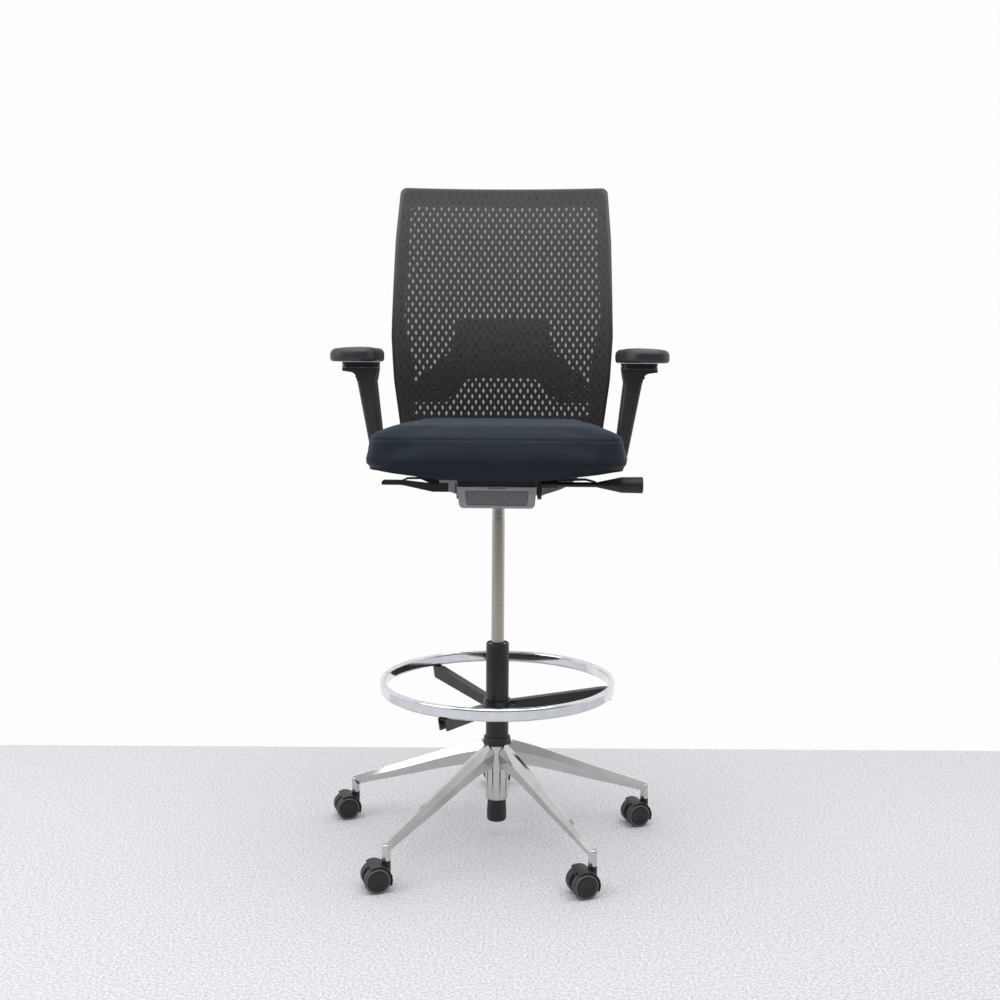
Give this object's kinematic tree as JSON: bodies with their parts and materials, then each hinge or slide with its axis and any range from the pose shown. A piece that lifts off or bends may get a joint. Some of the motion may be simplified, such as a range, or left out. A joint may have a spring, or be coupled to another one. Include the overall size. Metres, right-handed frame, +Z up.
{
  "type": "drafting chair",
  "caption": "Tall swivel drafting chair with a mesh back, padded seat, adjustable arms, chromed footring, gas lift and a star base on twin-wheel casters.",
  "frame": {"origin": "where the axis of the gas lift meets the floor", "axes": "+Z up along the gas lift, the seat faces -Y, +X is the sitter's left"},
  "size_m": [0.7367, 0.7057, 1.457],
  "materials": {
    "polished_aluminium": "polished",
    "bracket_aluminium": "satin",
    "cast_aluminium": "satin powder coat",
    "ring_chrome": "mirror",
    "cylinder_steel": "satin nickel",
    "pin_steel": "ground",
    "black_steel": "satin powder coat",
    "black_plastic": "fine moulded texture",
    "panel_plastic": "satin",
    "wheel_plastic": "moulded",
    "frame_plastic": "satin",
    "arm_pad": "soft satin",
    "mesh": "knitted open mesh",
    "seat_fabric": "fine flat weave",
    "bush_plastic": "moulded"
  },
  "bodies": {
    "base": {"base_star": "polished_aluminium", "base_collar": "black_plastic", "column_tube": "black_steel", "column_bearings": "bush_plastic", "column_end_cap": "black_plastic"},
    "caster_1_fork": {"caster_1_housing": "black_plastic", "caster_1_pins": "pin_steel"},
    "caster_1_left": {"caster_1_wheel_left": "wheel_plastic"},
    "caster_1_right": {"caster_1_wheel_right": "wheel_plastic"},
    "caster_2_fork": {"caster_2_housing": "black_plastic", "caster_2_pins": "pin_steel"},
    "caster_2_left": {"caster_2_wheel_left": "wheel_plastic"},
    "caster_2_right": {"caster_2_wheel_right": "wheel_plastic"},
    "caster_3_fork": {"caster_3_housing": "black_plastic", "caster_3_pins": "pin_steel"},
    "caster_3_left": {"caster_3_wheel_left": "wheel_plastic"},
    "caster_3_right": {"caster_3_wheel_right": "wheel_plastic"},
    "caster_4_fork": {"caster_4_housing": "black_plastic", "caster_4_pins": "pin_steel"},
    "caster_4_left": {"caster_4_wheel_left": "wheel_plastic"},
    "caster_4_right": {"caster_4_wheel_right": "wheel_plastic"},
    "caster_5_fork": {"caster_5_housing": "black_plastic", "caster_5_pins": "pin_steel"},
    "caster_5_left": {"caster_5_wheel_left": "wheel_plastic"},
    "caster_5_right": {"caster_5_wheel_right": "wheel_plastic"},
    "lift_rod": {"piston_rod": "pin_steel", "rod_clip": "pin_steel"},
    "mechanism": {"gas_cylinder": "cylinder_steel", "mechanism_housing": "cast_aluminium", "front_panel": "panel_plastic", "mechanism_pins": "pin_steel", "tilt_springs": "pin_steel", "side_brackets": "bracket_aluminium", "tension_sleeve": "black_plastic"},
    "valve": {"valve_pin": "pin_steel"},
    "height_control": {"height_lever": "black_plastic"},
    "depth_control": {"depth_lever": "black_plastic"},
    "lock_control": {"lock_lever": "black_plastic"},
    "tension_control": {"tension_shaft": "black_steel", "tension_knob": "black_plastic"},
    "footrest": {"footring": "ring_chrome", "footring_spokes": "black_steel", "footring_clamp_screw": "black_plastic"},
    "back": {"back_yoke": "black_steel", "back_frame": "frame_plastic", "back_mesh": "mesh", "back_screws": "pin_steel"},
    "lumbar": {"lumbar_support": "black_plastic"},
    "seat_frame": {"seat_carrier": "black_steel", "arm_brackets": "black_steel"},
    "seat": {"seat_shell": "seat_fabric", "seat_cushion": "seat_fabric"},
    "arm_left_post": {"arm_left_sleeve": "black_plastic"},
    "arm_left_slider": {"arm_left_plate": "black_plastic"},
    "arm_left_top": {"arm_left_pad": "arm_pad"},
    "arm_left_push": {"arm_left_button": "black_plastic"},
    "arm_right_post": {"arm_right_sleeve": "black_plastic"},
    "arm_right_slider": {"arm_right_plate": "black_plastic"},
    "arm_right_top": {"arm_right_pad": "arm_pad"},
    "arm_right_push": {"arm_right_button": "black_plastic"}
  },
  "joints": [
    {"name": "caster_1_swivel", "type": "hinge", "parent": "base", "child": "caster_1_fork", "pos_m": [0.19982, -0.28857, 0.057], "axis": [0, 0, 1], "continuous": true},
    {"name": "caster_1_left_spin", "type": "hinge", "parent": "caster_1_fork", "child": "caster_1_left", "pos_m": [0.17914, -0.2961, 0.026], "axis": [-0.342, 0.9397, 0], "continuous": true},
    {"name": "caster_1_right_spin", "type": "hinge", "parent": "caster_1_fork", "child": "caster_1_right", "pos_m": [0.17914, -0.2961, 0.026], "axis": [-0.342, 0.9397, 0], "continuous": true},
    {"name": "caster_2_swivel", "type": "hinge", "parent": "base", "child": "caster_2_fork", "pos_m": [0.3362, 0.10086, 0.057], "axis": [0, 0, 1], "continuous": true},
    {"name": "caster_2_left_spin", "type": "hinge", "parent": "caster_2_fork", "child": "caster_2_left", "pos_m": [0.31552, 0.09334, 0.026], "axis": [-0.342, 0.9397, 0], "continuous": true},
    {"name": "caster_2_right_spin", "type": "hinge", "parent": "caster_2_fork", "child": "caster_2_right", "pos_m": [0.31552, 0.09334, 0.026], "axis": [-0.342, 0.9397, 0], "continuous": true},
    {"name": "caster_3_swivel", "type": "hinge", "parent": "base", "child": "caster_3_fork", "pos_m": [0.00796, 0.35091, 0.057], "axis": [0, 0, 1], "continuous": true},
    {"name": "caster_3_left_spin", "type": "hinge", "parent": "caster_3_fork", "child": "caster_3_left", "pos_m": [-0.01271, 0.34338, 0.026], "axis": [-0.342, 0.9397, 0], "continuous": true},
    {"name": "caster_3_right_spin", "type": "hinge", "parent": "caster_3_fork", "child": "caster_3_right", "pos_m": [-0.01271, 0.34338, 0.026], "axis": [-0.342, 0.9397, 0], "continuous": true},
    {"name": "caster_4_swivel", "type": "hinge", "parent": "base", "child": "caster_4_fork", "pos_m": [-0.33127, 0.11601, 0.057], "axis": [0, 0, 1], "continuous": true},
    {"name": "caster_4_left_spin", "type": "hinge", "parent": "caster_4_fork", "child": "caster_4_left", "pos_m": [-0.35195, 0.10849, 0.026], "axis": [-0.342, 0.9397, 0], "continuous": true},
    {"name": "caster_4_right_spin", "type": "hinge", "parent": "caster_4_fork", "child": "caster_4_right", "pos_m": [-0.35195, 0.10849, 0.026], "axis": [-0.342, 0.9397, 0], "continuous": true},
    {"name": "caster_5_swivel", "type": "hinge", "parent": "base", "child": "caster_5_fork", "pos_m": [-0.2127, -0.27921, 0.057], "axis": [0, 0, 1], "continuous": true},
    {"name": "caster_5_left_spin", "type": "hinge", "parent": "caster_5_fork", "child": "caster_5_left", "pos_m": [-0.23337, -0.28674, 0.026], "axis": [-0.342, 0.9397, 0], "continuous": true},
    {"name": "caster_5_right_spin", "type": "hinge", "parent": "caster_5_fork", "child": "caster_5_right", "pos_m": [-0.23337, -0.28674, 0.026], "axis": [-0.342, 0.9397, 0], "continuous": true},
    {"name": "footring_height", "type": "slide", "parent": "base", "child": "footrest", "axis": [0, 0, 1], "range_m": [-0.045, 0.09]},
    {"name": "seat_swivel", "type": "hinge", "parent": "base", "child": "lift_rod", "pos_m": [0, 0, 0.07], "axis": [0, 0, 1], "continuous": true},
    {"name": "seat_height", "type": "slide", "parent": "lift_rod", "child": "mechanism", "axis": [0, 0, 1], "range_m": [-0.255, 0]},
    {"name": "back_tilt", "type": "hinge", "parent": "mechanism", "child": "back", "pos_m": [0, 0.045, 0.768], "axis": [-1, 0, 0], "range_deg": [0, 22], "stiffness_Nm_per_rad": 60, "springref_deg": -34.38},
    {"name": "seat_tilt", "type": "hinge", "parent": "mechanism", "child": "seat_frame", "pos_m": [0, -0.09, 0.788], "axis": [-1, 0, 0], "range_deg": [0, 6.6]},
    {"name": "seat_depth", "type": "slide", "parent": "seat_frame", "child": "seat", "axis": [0, -1, 0], "range_m": [0, 0.05]},
    {"name": "lumbar_height", "type": "slide", "parent": "back", "child": "lumbar", "axis": [0, 0, 1], "range_m": [-0.02, 0.03]},
    {"name": "height_lever_turn", "type": "hinge", "parent": "mechanism", "child": "height_control", "pos_m": [0.066, 0, 0.78], "axis": [0, -1, 0], "range_deg": [0, 3], "stiffness_Nm_per_rad": 4, "springref_deg": -2.86},
    {"name": "valve_pin_slide", "type": "slide", "parent": "mechanism", "child": "valve", "axis": [0, 0, 1], "range_m": [-0.004, 0]},
    {"name": "depth_lever_turn", "type": "hinge", "parent": "mechanism", "child": "depth_control", "pos_m": [-0.11, -0.015, 0.791], "axis": [0, 1, 0], "range_deg": [0, 5], "stiffness_Nm_per_rad": 3, "springref_deg": -5.73},
    {"name": "lock_lever_turn", "type": "hinge", "parent": "mechanism", "child": "lock_control", "pos_m": [-0.097, -0.053, 0.786], "axis": [0, 1, 0], "range_deg": [0, 5]},
    {"name": "tension_knob_turn", "type": "hinge", "parent": "mechanism", "child": "tension_control", "pos_m": [0.2, -0.05, 0.795], "axis": [1, 0, 0], "range_deg": [0, 900]},
    {"name": "arm_left_height", "type": "slide", "parent": "seat_frame", "child": "arm_left_post", "axis": [0.1367, 0, 0.9906], "range_m": [0, 0.1]},
    {"name": "arm_left_width", "type": "slide", "parent": "arm_left_post", "child": "arm_left_slider", "axis": [1, 0, 0], "range_m": [-0.0125, 0.0125]},
    {"name": "arm_left_depth", "type": "slide", "parent": "arm_left_slider", "child": "arm_left_top", "axis": [0, -1, 0], "range_m": [-0.03, 0.03]},
    {"name": "arm_left_button_push", "type": "slide", "parent": "arm_left_post", "child": "arm_left_push", "axis": [-1, 0, 0], "range_m": [0, 0.0025], "stiffness_N_per_m": 600, "springref_m": -0.002},
    {"name": "arm_right_height", "type": "slide", "parent": "seat_frame", "child": "arm_right_post", "axis": [-0.1367, 0, 0.9906], "range_m": [0, 0.1]},
    {"name": "arm_right_width", "type": "slide", "parent": "arm_right_post", "child": "arm_right_slider", "axis": [-1, 0, 0], "range_m": [-0.0125, 0.0125]},
    {"name": "arm_right_depth", "type": "slide", "parent": "arm_right_slider", "child": "arm_right_top", "axis": [0, -1, 0], "range_m": [-0.03, 0.03]},
    {"name": "arm_right_button_push", "type": "slide", "parent": "arm_right_post", "child": "arm_right_push", "axis": [1, 0, 0], "range_m": [0, 0.0025], "stiffness_N_per_m": 600, "springref_m": -0.002}
  ],
  "couplings": [
    {"joint": "seat_tilt", "follows": "back_tilt", "ratio": 0.3},
    {"joint": "valve_pin_slide", "follows": "height_lever_turn", "m_per_rad": -0.066}
  ]
}
